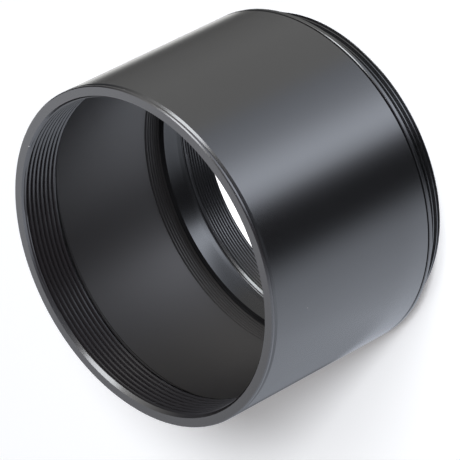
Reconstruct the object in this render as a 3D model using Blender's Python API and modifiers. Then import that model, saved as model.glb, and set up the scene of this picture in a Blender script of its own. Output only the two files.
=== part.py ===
"""Lens tube: a black anodised spacer tube with a threaded ring screwed into each end.

The tube stands on the end of its rear ring, mouth up. Its axis is Z and the origin is the
centre of the lower end. Every piece is turned, so each is one closed section revolved
round Z. All sizes are in metres.

Pieces, from the mouth down:
  front_ring  flanged ring with a coarse female thread, screwed into the tube's mouth
  tube_body   plain barrel with a fine female thread in each end
  rear_ring   flanged ring with a coarse male thread outside and a fine female thread inside

The helical threads themselves belong to the visual model. Here each thread is the plain
surface that its crests or its roots lie on, with its run-out, relief and lead-in.
"""

import math

import bpy

MM = 0.001

# Barrel
TUBE_DIAMETER = 80.0 * MM
TUBE_LENGTH = 48.45 * MM
TUBE_FRONT_CHAMFER = 0.5 * MM
TUBE_REAR_CHAMFER = 0.3 * MM

# Fine-threaded seats for the rings, one in each end of the barrel
SEAT_WALL = 1.0 * MM
SEAT_THREAD_DEPTH = 0.35 * MM
SEAT_EDGE = 0.12 * MM
FRONT_SEAT_LENGTH = 10.6 * MM
REAR_SEAT_LENGTH = 9.7 * MM

# Fits between pieces that are screwed together
THREAD_CLEARANCE = 0.3 * MM
FACE_GAP = 0.3 * MM

# Flanges of the two rings, as wide as the barrel
FRONT_FLANGE_THICKNESS = 0.75 * MM
REAR_FLANGE_THICKNESS = 0.9 * MM
FLANGE_EDGE = 0.24 * MM
FLANGE_BACK_EDGE = 0.08 * MM
FLANGE_UNDERCUT_WIDTH = 0.9 * MM
FLANGE_UNDERCUT_DEPTH = 0.3 * MM

# Front ring and its coarse female thread
FRONT_RING_LENGTH = 10.0 * MM
FRONT_RING_WALL = 1.6 * MM
FRONT_THREAD_DEPTH = 0.65 * MM
FRONT_LEAD_IN_LENGTH = 0.84 * MM
FRONT_INSERT_CHAMFER = 0.3 * MM
FRONT_EXIT_EDGE = 0.15 * MM

# Rear ring: the part of it inside the barrel, and its smooth throat
REAR_INSERT_LENGTH = 6.0 * MM
REAR_INSERT_CHAMFER = 0.4 * MM
REAR_THROAT_WALL = 1.95 * MM
REAR_THROAT_LENGTH = 4.3 * MM
REAR_THROAT_TAPER_LENGTH = 0.95 * MM
REAR_THROAT_TAPER_DEPTH = 0.3 * MM
REAR_THROAT_EDGE = 0.08 * MM

# Rear ring: the spigot, whose coarse male thread fits a front ring like the one above
SPIGOT_LENGTH = 5.75 * MM
SPIGOT_THREAD_ALLOWANCE = 0.35 * MM
SPIGOT_THREAD_DEPTH = 0.75 * MM
SPIGOT_RELIEF_WIDTH = 0.8 * MM
SPIGOT_CHAMFER = 0.5 * MM
SHOULDER_SEAT_CLEARANCE = 0.1 * MM
SHOULDER_RELIEF_DEPTH = 0.1 * MM

# Rear ring: the wall between the spigot's thread and the fine female thread inside it
SPIGOT_WALL = 1.05 * MM
REAR_LEAD_IN = 0.25 * MM
REAR_EXIT_CHAMFER = 0.35 * MM

# Facets round a turned surface, and the bend between facets that shades as an edge
TURN_STEPS = 96
SHARP_ANGLE = math.radians(25)

# Levels along the axis, from the end that the object stands on
REAR_FLANGE_BOTTOM = SPIGOT_LENGTH
REAR_FLANGE_TOP = REAR_FLANGE_BOTTOM + REAR_FLANGE_THICKNESS
TUBE_BOTTOM = REAR_FLANGE_TOP + FACE_GAP
TUBE_TOP = TUBE_BOTTOM + TUBE_LENGTH
FRONT_FLANGE_BOTTOM = TUBE_TOP + FACE_GAP
FRONT_FACE = FRONT_FLANGE_BOTTOM + FRONT_FLANGE_THICKNESS

# Radii, from the outside in
TUBE_RADIUS = TUBE_DIAMETER / 2
SEAT_RADIUS = TUBE_RADIUS - SEAT_WALL
BORE_RADIUS = SEAT_RADIUS - SEAT_THREAD_DEPTH
INSERT_RADIUS = SEAT_RADIUS - THREAD_CLEARANCE
UNDERCUT_RADIUS = INSERT_RADIUS - FLANGE_UNDERCUT_DEPTH
FRONT_CREST_RADIUS = INSERT_RADIUS - FRONT_RING_WALL
FRONT_ROOT_RADIUS = FRONT_CREST_RADIUS + FRONT_THREAD_DEPTH
THROAT_RADIUS = INSERT_RADIUS - REAR_THROAT_WALL
SPIGOT_CREST_RADIUS = FRONT_ROOT_RADIUS - SPIGOT_THREAD_ALLOWANCE
SPIGOT_ROOT_RADIUS = SPIGOT_CREST_RADIUS - SPIGOT_THREAD_DEPTH
REAR_CREST_RADIUS = SPIGOT_ROOT_RADIUS - SPIGOT_WALL


def clear_scene():
    """Remove whatever the opening scene holds."""
    for obj in list(bpy.data.objects):
        bpy.data.objects.remove(obj, do_unlink=True)


def make_collection(name):
    collection = bpy.data.collections.new(name)
    bpy.context.scene.collection.children.link(collection)
    return collection


def make_material(name, colour, roughness, metallic):
    material = bpy.data.materials.new(name)
    material.use_nodes = True
    shader = material.node_tree.nodes["Principled BSDF"]
    shader.inputs["Base Color"].default_value = (*colour, 1.0)
    shader.inputs["Roughness"].default_value = roughness
    shader.inputs["Metallic"].default_value = metallic
    return material


def turned(name, outer, inner, material, collection):
    """Revolve a closed section round Z.

    outer and inner list (radius, height) from the top down. The section runs down the
    outer side and back up the inner side, so its faces point out.
    """
    section = outer + inner[::-1]
    vertices = [(radius, 0.0, height) for radius, height in section]
    edges = [(i, (i + 1) % len(section)) for i in range(len(section))]
    profile = bpy.data.meshes.new(name + "_section")
    profile.from_pydata(vertices, edges, [])
    obj = bpy.data.objects.new(name, profile)
    collection.objects.link(obj)
    screw = obj.modifiers.new("turn", "SCREW")
    screw.axis = "Z"
    screw.angle = math.tau
    screw.steps = TURN_STEPS
    screw.render_steps = TURN_STEPS
    screw.use_merge_vertices = True
    screw.merge_threshold = 0.00001

    # The turned surface is made real, so that its corners can be marked sharp
    evaluated = obj.evaluated_get(bpy.context.evaluated_depsgraph_get())
    mesh = bpy.data.meshes.new_from_object(evaluated)
    mesh.name = name
    obj.modifiers.clear()
    obj.data = mesh
    mesh.shade_smooth()
    mesh.set_sharp_from_angle(angle=SHARP_ANGLE)
    mesh.materials.clear()
    mesh.materials.append(material)
    return obj


def flange(top, bottom):
    """Outer side of a flange, from its upper face down."""
    return [
        (TUBE_RADIUS - FLANGE_EDGE, top),
        (TUBE_RADIUS, top - FLANGE_EDGE),
        (TUBE_RADIUS, bottom + FLANGE_BACK_EDGE),
        (TUBE_RADIUS - FLANGE_BACK_EDGE, bottom),
    ]


def front_ring(material, collection):
    """Flanged ring with the coarse female thread, opened by a lead-in at its face."""
    bottom = FRONT_FACE - FRONT_RING_LENGTH
    relief = FRONT_FLANGE_BOTTOM - FLANGE_UNDERCUT_WIDTH
    outer = flange(FRONT_FACE, FRONT_FLANGE_BOTTOM) + [
        (UNDERCUT_RADIUS, FRONT_FLANGE_BOTTOM),
        (UNDERCUT_RADIUS, relief),
        (INSERT_RADIUS, relief - FLANGE_UNDERCUT_DEPTH),
        (INSERT_RADIUS, bottom + FRONT_INSERT_CHAMFER),
        (INSERT_RADIUS - FRONT_INSERT_CHAMFER, bottom),
    ]
    inner = [
        (FRONT_ROOT_RADIUS, FRONT_FACE),
        (FRONT_CREST_RADIUS, FRONT_FACE - FRONT_LEAD_IN_LENGTH),
        (FRONT_CREST_RADIUS, bottom + FRONT_EXIT_EDGE),
        (FRONT_CREST_RADIUS + FRONT_EXIT_EDGE, bottom),
    ]
    return turned("front_ring", outer, inner, material, collection)


def tube_body(material, collection):
    """Barrel: plain outside, a threaded seat cut a little wider into each end."""
    front_seat_end = TUBE_TOP - FRONT_SEAT_LENGTH
    rear_seat_end = TUBE_BOTTOM + REAR_SEAT_LENGTH
    outer = [
        (TUBE_RADIUS - TUBE_FRONT_CHAMFER, TUBE_TOP),
        (TUBE_RADIUS, TUBE_TOP - TUBE_FRONT_CHAMFER),
        (TUBE_RADIUS, TUBE_BOTTOM + TUBE_REAR_CHAMFER),
        (TUBE_RADIUS - TUBE_REAR_CHAMFER, TUBE_BOTTOM),
    ]
    inner = [
        (SEAT_RADIUS + SEAT_EDGE, TUBE_TOP),
        (SEAT_RADIUS, TUBE_TOP - SEAT_EDGE),
        (SEAT_RADIUS, front_seat_end),
        (BORE_RADIUS, front_seat_end - SEAT_THREAD_DEPTH),
        (BORE_RADIUS, rear_seat_end + SEAT_THREAD_DEPTH),
        (SEAT_RADIUS, rear_seat_end),
        (SEAT_RADIUS, TUBE_BOTTOM + SEAT_EDGE),
        (SEAT_RADIUS + SEAT_EDGE, TUBE_BOTTOM),
    ]
    return turned("tube_body", outer, inner, material, collection)


def rear_ring(material, collection):
    """Flanged ring: insert above the flange, threaded spigot below, stepped throat inside."""
    top = REAR_FLANGE_TOP + REAR_INSERT_LENGTH
    relief = REAR_FLANGE_TOP + FLANGE_UNDERCUT_WIDTH
    spigot_relief = REAR_FLANGE_BOTTOM - SPIGOT_RELIEF_WIDTH

    # The next tube's face seats on the shoulder outside the thread. Inside that it is relieved
    shoulder_seat = SPIGOT_CREST_RADIUS + SHOULDER_SEAT_CLEARANCE
    outer = [
        (INSERT_RADIUS - REAR_INSERT_CHAMFER, top),
        (INSERT_RADIUS, top - REAR_INSERT_CHAMFER),
        (INSERT_RADIUS, relief + FLANGE_UNDERCUT_DEPTH),
        (UNDERCUT_RADIUS, relief),
        (UNDERCUT_RADIUS, REAR_FLANGE_TOP),
    ] + flange(REAR_FLANGE_TOP, REAR_FLANGE_BOTTOM) + [
        (shoulder_seat, REAR_FLANGE_BOTTOM),
        (SPIGOT_ROOT_RADIUS, REAR_FLANGE_BOTTOM + SHOULDER_RELIEF_DEPTH),
        (SPIGOT_ROOT_RADIUS, spigot_relief),
        (SPIGOT_CREST_RADIUS, spigot_relief - SPIGOT_THREAD_DEPTH),
        (SPIGOT_CREST_RADIUS, SPIGOT_CHAMFER),
        (SPIGOT_CREST_RADIUS - SPIGOT_CHAMFER, 0.0),
    ]
    taper_top = top - REAR_THROAT_LENGTH
    taper_bottom = taper_top - REAR_THROAT_TAPER_LENGTH
    inner = [
        (THROAT_RADIUS + REAR_THROAT_EDGE, top),
        (THROAT_RADIUS, top - REAR_THROAT_EDGE),
        (THROAT_RADIUS, taper_top),
        (THROAT_RADIUS - REAR_THROAT_TAPER_DEPTH, taper_bottom),
        (REAR_CREST_RADIUS + REAR_LEAD_IN, taper_bottom),
        (REAR_CREST_RADIUS, taper_bottom - REAR_LEAD_IN),
        (REAR_CREST_RADIUS, REAR_EXIT_CHAMFER),
        (REAR_CREST_RADIUS + REAR_EXIT_CHAMFER, 0.0),
    ]
    return turned("rear_ring", outer, inner, material, collection)


def main():
    clear_scene()
    collection = make_collection("lens_tube")
    front_black = make_material("front_ring_anodised_black", (0.036, 0.037, 0.041), 0.30, 0.6)
    barrel_black = make_material("barrel_anodised_black", (0.030, 0.031, 0.034), 0.34, 0.6)
    rear_black = make_material("rear_ring_anodised_black", (0.028, 0.028, 0.032), 0.28, 0.6)
    front_ring(front_black, collection)
    tube_body(barrel_black, collection)
    rear_ring(rear_black, collection)


main()
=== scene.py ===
"""Visual model and studio for the lens tube.

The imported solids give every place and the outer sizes. Each turned piece is made again here
with its helical threads cut in it, and stands for its node.

Sections are written in mm, as points of radius and depth. Depths are counted down the axis
from the mouth's face. Angles called phi are in degrees, counted round the axis from the side
nearest the photo's camera, clockwise as seen from above.
"""

import math

import bmesh
import bpy
from mathutils import Matrix, Vector


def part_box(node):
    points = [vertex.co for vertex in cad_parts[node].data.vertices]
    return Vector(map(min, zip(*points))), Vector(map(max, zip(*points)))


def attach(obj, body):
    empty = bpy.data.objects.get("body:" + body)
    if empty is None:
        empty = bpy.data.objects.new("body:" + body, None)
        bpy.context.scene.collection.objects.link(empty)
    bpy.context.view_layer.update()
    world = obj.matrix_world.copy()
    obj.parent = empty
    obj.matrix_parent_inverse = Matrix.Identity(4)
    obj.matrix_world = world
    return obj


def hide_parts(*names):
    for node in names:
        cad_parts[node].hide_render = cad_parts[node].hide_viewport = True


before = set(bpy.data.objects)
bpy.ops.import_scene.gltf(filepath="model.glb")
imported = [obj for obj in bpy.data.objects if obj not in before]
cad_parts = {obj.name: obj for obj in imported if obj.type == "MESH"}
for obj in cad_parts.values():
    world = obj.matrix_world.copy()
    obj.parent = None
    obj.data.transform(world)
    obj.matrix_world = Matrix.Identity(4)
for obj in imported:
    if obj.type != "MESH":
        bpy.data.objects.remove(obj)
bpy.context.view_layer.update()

MM = 0.001
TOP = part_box("front_ring")[1][2]
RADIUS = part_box("tube_body")[1][0]

# Facets round a turned surface, rows of points to a thread's pitch, and the bend between facets
# that shades as an edge
COLUMNS = 360
COARSE_ROWS = 12
FINE_ROWS = 8
SHARP_ANGLE = math.radians(28)

# Points nearer each other than this become one, and shorter edges are dissolved, in metres
MERGE_DISTANCE = 3e-7
SHORTEST_EDGE = 2e-7

# How closely a depth in mm has to match the end of a cone
DEPTH_TOLERANCE = 1e-9

# Radii in mm: barrel, its seats for the rings, the parts of the rings inside it, their
# undercuts behind the flanges, the barrel's bore and the rear ring's throat
BARREL = RADIUS / MM
SEAT = BARREL - 1.0
INSERT = SEAT - 0.3
UNDERCUT = INSERT - 0.3
BORE = SEAT - 0.35
THROAT = INSERT - 1.95

# Threads in mm: pitches, and the radii of crests and roots
COARSE_PITCH = 1.25
FINE_PITCH = 0.75
SEAT_THREAD_ROOT = BORE + 0.4
MOUTH_CREST = INSERT - 1.6
MOUTH_ROOT = MOUTH_CREST + 0.65
SPIGOT_CREST = MOUTH_ROOT - 0.35
SPIGOT_ROOT = SPIGOT_CREST - 0.75
REAR_CREST = SPIGOT_ROOT - 1.05
REAR_ROOT = REAR_CREST + 0.4

# Flanges in mm, and the groove between each of them and the barrel
FRONT_FLANGE = 0.75
REAR_FLANGE = 0.9
FACE_GAP = 0.3
FRONT_FLANGE_EDGE = 0.24
REAR_FLANGE_EDGE = 0.16
FLANGE_BACK_EDGE = 0.08
UNDERCUT_WIDTH = 0.9
UNDERCUT_SLOPE = 0.3

# Mouth in mm: the lead-in cone, how much of it stays smooth, and where the thread has its
# full depth. The ring's bore opens a hair wider than the roots
LEAD_IN = 0.84
SMOOTH_LEAD_IN = 0.48
FULL_THREAD = 0.8
MOUTH_OPENING = 0.04
FRONT_INSERT_CHAMFER = 0.3
FRONT_EXIT_EDGE = 0.15

# Barrel in mm. Each seat thread goes on for a while under the end of its ring
BARREL_FRONT_CHAMFER = 0.5
BARREL_REAR_CHAMFER = 0.3
SEAT_EDGE = 0.12
FRONT_SEAT = 10.6
REAR_SEAT = 9.7
SEAT_RUN_OUT = 0.35
UNDER_FRONT_RING = 1.0
UNDER_REAR_RING = 1.4
REAR_SEAT_SLOPE = 0.3

# Faces of the barrel nearer the axis than this, in mm, are matt like its bore
BORE_SIDE = SEAT + 0.3

# A ring of points this far beside a thread, in mm, keeps the long wall next to it straight
# in its shading
GUARD = 0.1

# Rear ring in mm: the throat, the step down to the fine thread, and the thread's start
REAR_INSERT_CHAMFER = 0.4
THROAT_WALL_END = 4.0
THROAT_TAPER_START = 4.2
THROAT_TAPER = 0.2
THROAT_EDGE = 0.07
STEP_DEPTH = 5.4
REAR_LEAD_IN = 0.45
REAR_SMOOTH_LEAD_IN = 0.3
REAR_FULL_THREAD = 0.5
REAR_EXIT_CHAMFER = 0.35

# Spigot in mm: the shoulder that the next tube seats on, relieved inside the thread
SHOULDER_SEAT = 0.1
SHOULDER_RELIEF = 0.1
SPIGOT_RELIEF = 0.7
SPIGOT_CHAMFER = 0.5


class Thread:
    """A right-hand thread. crest and root are radii in mm; a crest lies at depth at when phi is phi_at.

    crest_flat and root_flat are shares of the pitch.
    """

    def __init__(self, pitch, crest, root, at, phi_at=180.0, crest_flat=0.25, root_flat=0.125):
        self.pitch = pitch
        self.crest = crest
        self.root = root
        self.at = at
        self.phi_at = phi_at
        self.flank_start = crest_flat / 2
        self.flank_end = 0.5 - root_flat / 2

    def radius(self, depth, phi):
        turns = (depth - self.at) / self.pitch - (phi - self.phi_at) / 360.0
        off = abs(turns - round(turns))
        share = (off - self.flank_start) / (self.flank_end - self.flank_start)
        return self.crest + (self.root - self.crest) * min(1.0, max(0.0, share))

    def fractions(self, rows):
        """Places within one pitch where a row of points lies: the profile's corners, and some between."""
        start, end = self.flank_start, self.flank_end
        corners = [-start, start, end, 1.0 - end, 1.0 - start]
        out = []
        for a, b in zip(corners, corners[1:]):
            count = max(1, round(rows * (b - a)))
            out += [a + (b - a) * i / count for i in range(count)]
        return out


def on_cone(cone, depth):
    """The radius at a depth on a cone, given as (depth, radius, depth, radius)."""
    start, start_radius, end, end_radius = cone
    return start_radius + (end_radius - start_radius) * (depth - start) / (end - start)


class Cut:
    """A stretch of a section that carries a thread, from depth a to depth b in the section's own order.

    rows is the number of rows of points to a pitch. limits are cones that trim the thread: the
    wall is never nearer its crest side than they are. caps are cones that the wall is never
    deeper than, where the thread sets in.
    """

    def __init__(self, thread, a, b, rows, limits=(), caps=()):
        self.thread = thread
        self.a = a
        self.b = b
        self.rows = rows
        self.limits = limits
        self.caps = caps

    def points(self, phi):
        thread = self.thread
        low, high = min(self.a, self.b), max(self.a, self.b)
        first = math.floor((low - thread.at) / thread.pitch) - 2
        last = math.ceil((high - thread.at) / thread.pitch) + 2
        shift = (phi - thread.phi_at) / 360.0
        out = []
        for turn in range(first, last):
            for fraction in thread.fractions(self.rows):
                depth = thread.at + thread.pitch * (turn + fraction + shift)
                depth = min(high, max(low, depth))
                out.append((self.trimmed(depth, phi), depth))
        return out if self.a < self.b else out[::-1]

    def trimmed(self, depth, phi):
        radius = self.thread.radius(depth, phi)
        female = self.thread.root > self.thread.crest
        outward, inward = (max, min) if female else (min, max)
        for cone in self.limits:
            if cone[0] - DEPTH_TOLERANCE <= depth <= cone[2] + DEPTH_TOLERANCE:
                radius = outward(radius, on_cone(cone, depth))
        for cone in self.caps:
            if cone[0] <= depth < cone[2]:
                radius = inward(radius, on_cone(cone, depth))
        return radius


def depths(node):
    """The depths in mm at which a node starts and ends."""
    low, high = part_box(node)
    return (TOP - high[2]) / MM, (TOP - low[2]) / MM


def point(radius, depth, phi):
    """A place in metres, from a radius and a depth in mm."""
    angle = math.radians(phi)
    return -radius * MM * math.sin(angle), -radius * MM * math.cos(angle), TOP - depth * MM


def turned(node, section, material, inner=None, inner_radius=0.0):
    """A closed body round the axis, which stands for a node.

    section lists (radius, depth) points and Cuts, down the outside and back up the inside.
    Faces nearer the axis than inner_radius, in mm, take the inner material.
    """
    name = node + "_turned"
    bm = bmesh.new()
    columns = []
    for j in range(COLUMNS + 1):
        phi = 360.0 * j / COLUMNS
        points = []
        for part in section:
            points += part.points(phi) if isinstance(part, Cut) else [part]
        columns.append([bm.verts.new(point(radius, depth, phi)) for radius, depth in points])
    count = len(columns[0])
    for left, right in zip(columns, columns[1:]):
        for i in range(count):
            k = (i + 1) % count
            bm.faces.new((left[i], left[k], right[k], right[i]))
    bmesh.ops.remove_doubles(bm, verts=bm.verts, dist=MERGE_DISTANCE)
    bmesh.ops.dissolve_degenerate(bm, edges=bm.edges, dist=SHORTEST_EDGE)
    bmesh.ops.recalc_face_normals(bm, faces=bm.faces)
    mesh = bpy.data.meshes.new(name)
    bm.to_mesh(mesh)
    bm.free()
    mesh.shade_smooth()
    mesh.set_sharp_from_angle(angle=SHARP_ANGLE)
    mesh.materials.append(material)
    if inner:
        mesh.materials.append(inner)
        for face in mesh.polygons:
            if face.center.xy.length < inner_radius * MM:
                face.material_index = 1
    obj = bpy.data.objects.new(name, mesh)
    bpy.context.scene.collection.objects.link(obj)
    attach(obj, "root")
    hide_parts(node)


def front_ring(material):
    """Flanged ring with the coarse female thread, opened by a lead-in at its face."""
    face, end = depths("front_ring")
    thread = Thread(COARSE_PITCH, MOUTH_CREST, MOUTH_ROOT, at=2.08)
    flange_back = face + FRONT_FLANGE
    relief = flange_back + UNDERCUT_WIDTH
    lead_in = (face, MOUTH_ROOT, face + LEAD_IN, MOUTH_CREST)
    exit_edge = (end - FRONT_EXIT_EDGE, MOUTH_CREST, end, MOUTH_CREST + FRONT_EXIT_EDGE)
    smooth_end = face + SMOOTH_LEAD_IN
    smooth_radius = on_cone(lead_in, smooth_end)
    section = [
        (BARREL - FRONT_FLANGE_EDGE, face),
        (BARREL, face + FRONT_FLANGE_EDGE),
        (BARREL, flange_back - FLANGE_BACK_EDGE),
        (BARREL - FLANGE_BACK_EDGE, flange_back),
        (UNDERCUT, flange_back),
        (UNDERCUT, relief),
        (INSERT, relief + UNDERCUT_SLOPE),
        (INSERT, end - FRONT_INSERT_CHAMFER),
        (INSERT - FRONT_INSERT_CHAMFER, end),
        (MOUTH_CREST + FRONT_EXIT_EDGE, end),
        Cut(thread, end, face, COARSE_ROWS, [lead_in, exit_edge], [
            (face, MOUTH_ROOT, smooth_end, smooth_radius),
            (smooth_end, smooth_radius, face + FULL_THREAD, MOUTH_ROOT),
        ]),
        (MOUTH_ROOT + MOUTH_OPENING, face),
    ]
    turned("front_ring", section, material)


def tube_body(material, bore_material):
    """Barrel: plain outside, with a fine thread in the seat at each end."""
    top, end = depths("tube_body")
    front_thread = Thread(FINE_PITCH, BORE, SEAT_THREAD_ROOT, at=11.0)
    rear_thread = Thread(FINE_PITCH, BORE, SEAT_THREAD_ROOT, at=40.2)
    front_thread_top = depths("front_ring")[1] - UNDER_FRONT_RING
    front_bore = top + FRONT_SEAT + SEAT_RUN_OUT
    rear_thread_end = depths("rear_ring")[0] + UNDER_REAR_RING
    rear_seat = end - REAR_SEAT
    rear_bore = rear_seat - SEAT_RUN_OUT
    run_out = (rear_bore, BORE, rear_seat, SEAT_THREAD_ROOT)
    section = [
        (BARREL - BARREL_FRONT_CHAMFER, top),
        (BARREL, top + BARREL_FRONT_CHAMFER),
        (BARREL, end - BARREL_REAR_CHAMFER),
        (BARREL - BARREL_REAR_CHAMFER, end),
        (SEAT + SEAT_EDGE, end),
        (SEAT, end - SEAT_EDGE),
        (SEAT, rear_thread_end + REAR_SEAT_SLOPE),
        (BORE, rear_thread_end),
        Cut(rear_thread, rear_thread_end, rear_bore, FINE_ROWS, [run_out]),
        (BORE, rear_bore),
        (BORE, rear_bore - GUARD),
        (BORE, front_bore + GUARD),
        (BORE, front_bore),
        Cut(front_thread, front_bore - GUARD / 2, front_thread_top, FINE_ROWS),
        (SEAT, front_thread_top - GUARD),
        (SEAT, top + SEAT_EDGE),
        (SEAT + SEAT_EDGE, top),
    ]
    turned("tube_body", section, material, bore_material, inner_radius=BORE_SIDE)


def rear_ring(material):
    """Flanged ring: insert above the flange, threaded spigot below, stepped throat inside."""
    top, end = depths("rear_ring")
    flange_top = depths("tube_body")[1] + FACE_GAP
    shoulder = flange_top + REAR_FLANGE
    relief = flange_top - UNDERCUT_WIDTH
    spigot_thread = Thread(COARSE_PITCH, SPIGOT_CREST, SPIGOT_ROOT, at=52.5, phi_at=0.0,
                           crest_flat=0.18, root_flat=0.22)
    thread_top = shoulder + SPIGOT_RELIEF
    run_in = (thread_top, SPIGOT_ROOT, thread_top + SPIGOT_CREST - SPIGOT_ROOT, SPIGOT_CREST)
    spigot_chamfer = (end - SPIGOT_CHAMFER, SPIGOT_CREST, end, SPIGOT_CREST - SPIGOT_CHAMFER)

    rear_thread = Thread(FINE_PITCH, REAR_CREST, REAR_ROOT, at=49.72, crest_flat=0.22, root_flat=0.02)
    step = top + STEP_DEPTH
    lead_in = (step, REAR_CREST + REAR_LEAD_IN, step + REAR_LEAD_IN, REAR_CREST)
    exit_chamfer = (end - REAR_EXIT_CHAMFER, REAR_CREST, end, REAR_CREST + REAR_EXIT_CHAMFER)
    smooth_end = step + REAR_SMOOTH_LEAD_IN
    smooth_radius = on_cone(lead_in, smooth_end)
    section = [
        (INSERT - REAR_INSERT_CHAMFER, top),
        (INSERT, top + REAR_INSERT_CHAMFER),
        (INSERT, relief - UNDERCUT_SLOPE),
        (UNDERCUT, relief),
        (UNDERCUT, flange_top),
        (BARREL - REAR_FLANGE_EDGE, flange_top),
        (BARREL, flange_top + REAR_FLANGE_EDGE),
        (BARREL, shoulder - FLANGE_BACK_EDGE),
        (BARREL - FLANGE_BACK_EDGE, shoulder),
        (SPIGOT_CREST + SHOULDER_SEAT, shoulder),
        (SPIGOT_ROOT, shoulder - SHOULDER_RELIEF),
        (SPIGOT_ROOT, thread_top),
        Cut(spigot_thread, thread_top, end, COARSE_ROWS, [run_in, spigot_chamfer]),
        (SPIGOT_CREST - SPIGOT_CHAMFER, end),
        (REAR_CREST + REAR_EXIT_CHAMFER, end),
        Cut(rear_thread, end, step, FINE_ROWS, [lead_in, exit_chamfer], [
            (step, REAR_CREST + REAR_LEAD_IN, smooth_end, smooth_radius),
            (smooth_end, smooth_radius, step + REAR_FULL_THREAD, REAR_ROOT),
        ]),
        (REAR_CREST + REAR_LEAD_IN, step),
        (THROAT - THROAT_TAPER - THROAT_EDGE, step),
        (THROAT - THROAT_TAPER, step - THROAT_EDGE),
        (THROAT, top + THROAT_TAPER_START),
        (THROAT, top + THROAT_WALL_END),
        (THROAT, top),
    ]
    turned("rear_ring", section, material)


class Graph:
    """The nodes of a material or a world, with short calls that add and link them."""

    def __init__(self, owner, clear=False):
        owner.use_nodes = True
        self.nodes = owner.node_tree.nodes
        self.links = owner.node_tree.links
        if clear:
            self.nodes.clear()

    def add(self, kind, **settings):
        """A new node of a kind. settings are its own properties, such as its operation."""
        node = self.nodes.new("ShaderNode" + kind)
        for name, value in settings.items():
            setattr(node, name, value)
        return node

    def put(self, socket, value):
        """Set a socket to a number or a colour, or link it to another node's output."""
        if isinstance(value, bpy.types.NodeSocket):
            self.links.new(value, socket)
        else:
            socket.default_value = value

    def maths(self, operation, *values):
        node = self.add("Math", operation=operation)
        for socket, value in zip(node.inputs, values):
            self.put(socket, value)
        return node.outputs["Value"]

    def product(self, *values):
        out = values[0]
        for value in values[1:]:
            out = self.maths("MULTIPLY", out, value)
        return out

    def ranged(self, value, start, end, low=0.0, high=1.0, kind="LINEAR"):
        """value's place between start and end, read off as a level between low and high, clamped."""
        node = self.add("MapRange", interpolation_type=kind)
        for socket, number in zip(node.inputs, (value, start, end, low, high)):
            self.put(socket, number)
        return node.outputs["Result"]

    def mixed(self, share, first, second, kind="RGBA"):
        """A colour or a number between two, by a share from 0 to 1."""
        node = self.add("Mix", data_type=kind)
        for socket, value in (("Factor", share), ("A", first), ("B", second)):
            self.put(node.inputs[socket], value)
        return node.outputs["Result"]

    def choice(self, share, first, second):
        """A shader between two, by a share from 0 to 1."""
        node = self.add("MixShader")
        for socket, value in zip(node.inputs, (share, first, second)):
            self.put(socket, value)
        return node.outputs[0]

    def noise(self, place, scale, detail):
        """Noise over a place, or over one number."""
        node = self.add("TexNoise")
        socket = "Vector"
        if place.type == "VALUE":
            node.noise_dimensions = "1D"
            socket = "W"
        node.inputs["Scale"].default_value = scale
        node.inputs["Detail"].default_value = detail
        self.put(node.inputs[socket], place)
        return node.outputs["Fac"]

    def split(self, vector):
        """The X, Y and Z of a vector."""
        node = self.add("SeparateXYZ")
        self.put(node.inputs[0], vector)
        return node.outputs["X"], node.outputs["Y"], node.outputs["Z"]


OXIDE_IOR = 1.72


def anodised(name, colour, roughness, sheen=(1.0, 1.0, 1.0), dust=()):
    """Black anodised aluminium: a dark dyed oxide skin with a satin sheen and faint turning lines.

    dust lists specks as (radius, depth, phi, size, paleness).
    """
    material = bpy.data.materials.new(name)
    graph = Graph(material)
    shader = graph.nodes["Principled BSDF"]
    shader.inputs["Metallic"].default_value = 0.0
    shader.inputs["IOR"].default_value = OXIDE_IOR
    shader.inputs["Specular Tint"].default_value = (*sheen, 1.0)
    place = graph.add("TexCoord").outputs["Object"]

    # Slow unevenness of the dye, with the specks of dust on top
    darker = (*[c * 0.85 for c in colour], 1.0)
    lighter = (*[c * 1.2 for c in colour], 1.0)
    skin = graph.mixed(graph.noise(place, scale=45.0, detail=3.0), darker, lighter)
    for radius, depth, phi, size, pale in dust:
        away = graph.add("VectorMath", operation="DISTANCE")
        away.inputs[1].default_value = point(radius, depth, phi)
        graph.put(away.inputs[0], place)
        cover = graph.ranged(away.outputs["Value"], size * MM, size * MM / 2)
        skin = graph.mixed(cover, skin, (pale, pale, pale, 1.0))
    graph.put(shader.inputs["Base Color"], skin)

    # Fine even grain of the blasted skin, and turning lines that run round the axis
    grain = graph.noise(place, scale=5200.0, detail=2.0)
    lines = graph.noise(graph.split(place)[2], scale=4500.0, detail=3.0)
    graph.put(shader.inputs["Roughness"], graph.ranged(grain, 0.3, 0.7, roughness - 0.02, roughness + 0.02))
    bump = graph.add("Bump")
    bump.inputs["Strength"].default_value = 0.12
    bump.inputs["Distance"].default_value = 0.02 * MM
    graph.put(bump.inputs["Height"], graph.maths("MULTIPLY_ADD", lines, 0.5, grain))
    graph.put(shader.inputs["Normal"], bump.outputs["Normal"])
    return material


def lens_tube():
    """The three pieces in their black skins, with the specks of dust that the photo shows."""
    black = (0.0070, 0.0070, 0.0078)
    barrel_dust = [(40.0, 10.85, 40.0, 0.25, 0.08), (39.6, 1.15, -58.8, 0.22, 0.16)]
    mouth_dust = [(37.75, 0.0, 241.8, 0.20, 0.35)]
    bore_black = anodised("bore_matt_black", (0.0085, 0.0080, 0.0085), 0.48, sheen=(1.0, 0.955, 0.93))
    front_ring(anodised("front_ring_anodised_black", (0.0125, 0.0112, 0.0125), 0.22, dust=mouth_dust))
    tube_body(anodised("barrel_anodised_black", black, 0.20, dust=barrel_dust), bore_black)
    rear_ring(anodised("rear_ring_anodised_black", black, 0.20))


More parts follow.
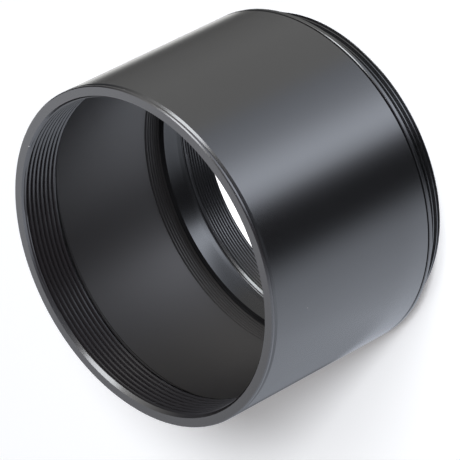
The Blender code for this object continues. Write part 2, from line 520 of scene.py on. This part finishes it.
def outer_share(graph, x, y, reach):
    """How much of the tent the barrel's sheen sees past the paper: less behind its left side, a painted
    shadow in its reflection.

    x, y and reach are a place on the floor and its distance from the axis, in metres. Directions
    there are taken from a pivot at the tube's left side, as an angle in radians.
    """
    pivot_x, pivot_y = -0.0396, -0.005
    lean = graph.maths("ARCTAN2", graph.maths("SUBTRACT", pivot_x, x), graph.maths("SUBTRACT", y, pivot_y))
    lean = graph.maths("ABSOLUTE", lean)
    # Painted shadow in the barrel's reflection behind its left side, standing in for shade on the paper
    # beside the tube
    left = graph.product(graph.ranged(x, -0.030, -0.010, 1.0, 0.0), graph.ranged(reach, 0.049, 0.055))
    near_edge = graph.ranged(lean, 0.17, 0.34, 0.52, 0.0)
    beyond = graph.ranged(lean, 0.4, 1.7, 0.46, 0.10)
    painted_shade = graph.product(left, graph.maths("ADD", near_edge, beyond))
    return graph.maths("SUBTRACT", 1.0, painted_shade)


def inner_share(graph, x, y):
    """The same for the bore's sheen, inside the tube: painted shade in its reflection, less to the front and
    beside its middle, and painted light a little above the tent's level to the back.

    x and y are a place on the floor, in metres.
    """
    # Painted shade and light in the bore's reflection of the paper inside the tube
    beside = graph.product(
        graph.ranged(graph.maths("ABSOLUTE", x), 0.0, 0.0027, 0.0, 0.66),
        graph.ranged(y, 0.016, 0.020),
        graph.ranged(y, 0.026, 0.029, 1.0, 0.0))
    return graph.product(graph.ranged(y, -0.012, 0.023, 0.30, 1.2), graph.maths("SUBTRACT", 1.0, beside))


def floor():
    """White paper. The camera sees it lit a little more, and as painted light it glows white in the circle
    inside the tube, over the tube's own shade.
    """
    material = bpy.data.materials.new("floor_white")
    graph = Graph(material, clear=True)
    place = graph.add("TexCoord").outputs["Object"]
    x, y, _ = graph.split(place)
    length = graph.add("VectorMath", operation="LENGTH")
    graph.put(length.inputs[0], place)
    reach = length.outputs["Value"]
    inside = graph.ranged(reach, 0.0355, 0.0365, 1.0, 0.0)
    path = graph.add("LightPath")

    diffuse = graph.add("BsdfDiffuse")
    diffuse.inputs["Color"].default_value = (0.865, 0.885, 0.915, 1.0)
    glow = graph.add("Emission")
    glow.inputs["Color"].default_value = (1.08, 1.05, 1.06, 1.0)
    # Painted light: in the circle inside the tube the paper glows fully white for the camera, over the shade
    # that the tube casts there
    strength = graph.product(path.outputs["Is Camera Ray"], graph.ranged(inside, 0.0, 1.0, 0.225, 1.0))
    graph.put(glow.inputs["Strength"], strength)
    lit = graph.add("AddShader")
    graph.put(lit.inputs[0], diffuse.outputs[0])
    graph.put(lit.inputs[1], glow.outputs[0])

    # Far from the tube the paper runs out into the white background
    white = graph.add("Emission")
    far = graph.product(path.outputs["Is Camera Ray"], graph.ranged(reach, 0.2, 1.0))
    paper = graph.choice(far, lit.outputs[0], white.outputs[0])

    # The sheen of the metal looks past the paper at the walls of the light tent, dimmed there by painted
    # shade and, inside the tube, partly lifted by painted light
    clear = graph.add("BsdfTransparent")
    share = graph.mixed(inside, outer_share(graph, x, y, reach), inner_share(graph, x, y), kind="FLOAT")
    graph.put(clear.inputs["Color"], share)
    output = graph.add("OutputMaterial")
    graph.put(output.inputs["Surface"], graph.choice(path.outputs["Is Glossy Ray"], paper, clear.outputs[0]))

    half = 3.0
    corners = [(-half, -half, 0), (half, -half, 0), (half, half, 0), (-half, half, 0)]
    mesh = bpy.data.meshes.new("floor")
    mesh.from_pydata(corners, [], [(0, 1, 2, 3)])
    mesh.materials.append(material)
    obj = bpy.data.objects.new("floor", mesh)
    bpy.context.scene.collection.objects.link(obj)


LAMP_TARGET = Vector((0.0, 0.0, 0.03))


def lamp(name, direction, distance, size, power, colour=(1.0, 1.0, 1.0)):
    """A round soft lamp that looks at the tube from a direction. Metres and watts."""
    light = bpy.data.lights.new(name, "AREA")
    light.shape = "DISK"
    light.size = size
    light.energy = power
    light.color = colour
    obj = bpy.data.objects.new(name, light)
    away = Vector(direction) * distance
    obj.location = LAMP_TARGET + away
    obj.rotation_euler = (-away).to_track_quat("-Z", "Y").to_euler()
    obj.visible_camera = False
    bpy.context.scene.collection.objects.link(obj)
    return obj


def lamps():
    """A key that only the sheen shows, and two soft lamps that light the paper and cast the shadow."""
    key = lamp("key", (0.685, -0.403, 0.607), distance=0.7, size=0.31, power=2.2, colour=(0.93, 0.96, 1.0))
    key.visible_diffuse = False
    front_fill = lamp("front_fill", (0.131, -0.743, 0.656), distance=3.0, size=0.63, power=70.0)
    front_fill.visible_glossy = False
    side_fill = lamp("side_fill", (0.332, -0.624, 0.707), distance=3.0, size=1.27, power=37.0)
    side_fill.visible_glossy = False


# The light tent, as (azimuth, level, hue). Azimuth is in degrees, counted from the camera's
# side, clockwise from above. LOW is the tent well below the horizon, which the barrel and the
# bore reflect, and MID is the tent above it, which the faces and chamfers reflect
WARM = (1.0, 1.0, 0.985)
COOL = (0.90, 0.96, 1.08)
PALE = (0.95, 0.975, 1.035)
BRIGHTEST = 4.0
LOW = [
    (-180, 1.0, WARM), (-176, 1.4, WARM), (-168, 1.4, WARM), (-160, 1.25, WARM), (-152, 0.25, WARM),
    (-146, 0.16, WARM), (-138, 0.27, WARM), (-120, 0.48, WARM), (-100, 0.77, WARM), (-80, 0.91, WARM),
    (-60, 1.02, WARM), (-50, 1.21, COOL), (-40, 1.52, COOL), (-30, 2.0, COOL), (-20, 3.1, COOL),
    (-10, 4.0, COOL), (0, 2.6, COOL), (5, 0.95, COOL), (10, 0.26, COOL), (17, 0.02, COOL),
    (27, 0.02, COOL), (34, 0.05, COOL), (40, 0.22, COOL), (50, 1.03, COOL), (60, 1.57, COOL),
    (80, 1.75, COOL), (100, 1.68, COOL), (120, 1.46, COOL), (140, 1.12, COOL), (160, 0.78, COOL),
    (172, 0.85, COOL), (180, 1.0, WARM),
]
MID = [
    (-180, 1.22, PALE), (-172, 2.6, PALE), (-160, 1.6, PALE), (-145, 0.3, COOL), (-131, 0.13, COOL),
    (-118, 0.15, COOL), (-104, 0.6, WARM), (-90, 1.5, WARM), (-74, 2.2, WARM), (-57, 1.2, WARM),
    (-39, 0.9, WARM), (-20, 0.5, COOL), (0, 0.4, COOL), (20, 0.6, COOL), (39, 1.8, COOL),
    (57, 2.0, COOL), (74, 1.7, COOL), (90, 1.6, COOL), (104, 1.5, COOL), (118, 1.5, COOL),
    (131, 1.3, COOL), (160, 0.9, PALE), (172, 0.55, PALE), (180, 1.22, PALE),
]
DARK_TOP = (0.04, 0.042, 0.048, 1.0)


def ramp(graph, turn, table):
    """The table's colours over the whole turn, as shares of the brightest level."""
    node = graph.add("ValToRGB")
    stops = node.color_ramp.elements
    while len(stops) > 1:
        stops.remove(stops[-1])
    for i, (azimuth, level, hue) in enumerate(table):
        stop = stops[0] if i == 0 else stops.new(azimuth / 360.0 + 0.5)
        stop.position = azimuth / 360.0 + 0.5
        stop.color = (*[level * h / BRIGHTEST for h in hue], 1.0)
    graph.put(node.inputs["Fac"], turn)
    return node.outputs["Color"]


def light_tent():
    """A tent that glossy rays see, white for the camera, and a dim even light for the rest."""
    world = bpy.data.worlds.new("studio")
    bpy.context.scene.world = world
    graph = Graph(world)
    x, y, z = graph.split(graph.add("TexCoord").outputs["Generated"])
    azimuth = graph.maths("ARCTAN2", graph.maths("MULTIPLY", x, -1.0), graph.maths("MULTIPLY", y, -1.0))
    turn = graph.maths("MULTIPLY_ADD", azimuth, 1.0 / math.tau, 0.5)
    height = graph.ranged(z, -0.40, 0.0, kind="SMOOTHSTEP")
    walls = graph.mixed(height, ramp(graph, turn, LOW), ramp(graph, turn, MID))

    # Dark overhead, and dark further down on the front right
    brow = graph.maths("MULTIPLY_ADD", y, -0.3, z)
    front_right = graph.product(graph.ranged(brow, 0.76, 0.87), graph.ranged(azimuth, 0.0, 0.2))
    overhead = graph.maths("MAXIMUM", graph.ranged(z, 0.85, 0.95), front_right)

    sheen = graph.add("Background")
    sheen.inputs["Strength"].default_value = BRIGHTEST
    graph.put(sheen.inputs["Color"], graph.mixed(overhead, walls, DARK_TOP))
    path = graph.add("LightPath")
    plain = graph.nodes["Background"]
    plain.inputs["Color"].default_value = (1.0, 1.0, 1.0, 1.0)
    graph.put(plain.inputs["Strength"], graph.ranged(path.outputs["Is Camera Ray"], 0.0, 1.0, 0.14, 1.0))
    seen = graph.choice(path.outputs["Is Glossy Ray"], plain.outputs[0], sheen.outputs[0])
    graph.put(graph.nodes["World Output"].inputs["Surface"], seen)


def photo_camera():
    """The photo's camera, placed in barrel radii from the centre of the mouth's face."""
    camera = bpy.data.cameras.new("camera")
    camera.lens = 364.6
    camera.sensor_width = 36.0
    camera.clip_end = 20.0
    obj = bpy.data.objects.new("camera", camera)
    bpy.context.scene.collection.objects.link(obj)
    bpy.context.scene.camera = obj
    right = Vector((-0.4543, -0.5519, -0.6993)).normalized()
    back = Vector((0.0033, -0.7860, 0.6182)).normalized()
    up = back.cross(right).normalized()
    right = up.cross(back)
    turn = Matrix((right, up, back)).transposed().to_4x4()
    place = Vector((0.0, -20.29, 15.315)) * RADIUS + Vector((0.0, 0.0, TOP))
    obj.matrix_world = Matrix.Translation(place) @ turn


lens_tube()
floor()
lamps()
light_tent()
photo_camera()
bpy.context.scene.view_settings.view_transform = "Standard"
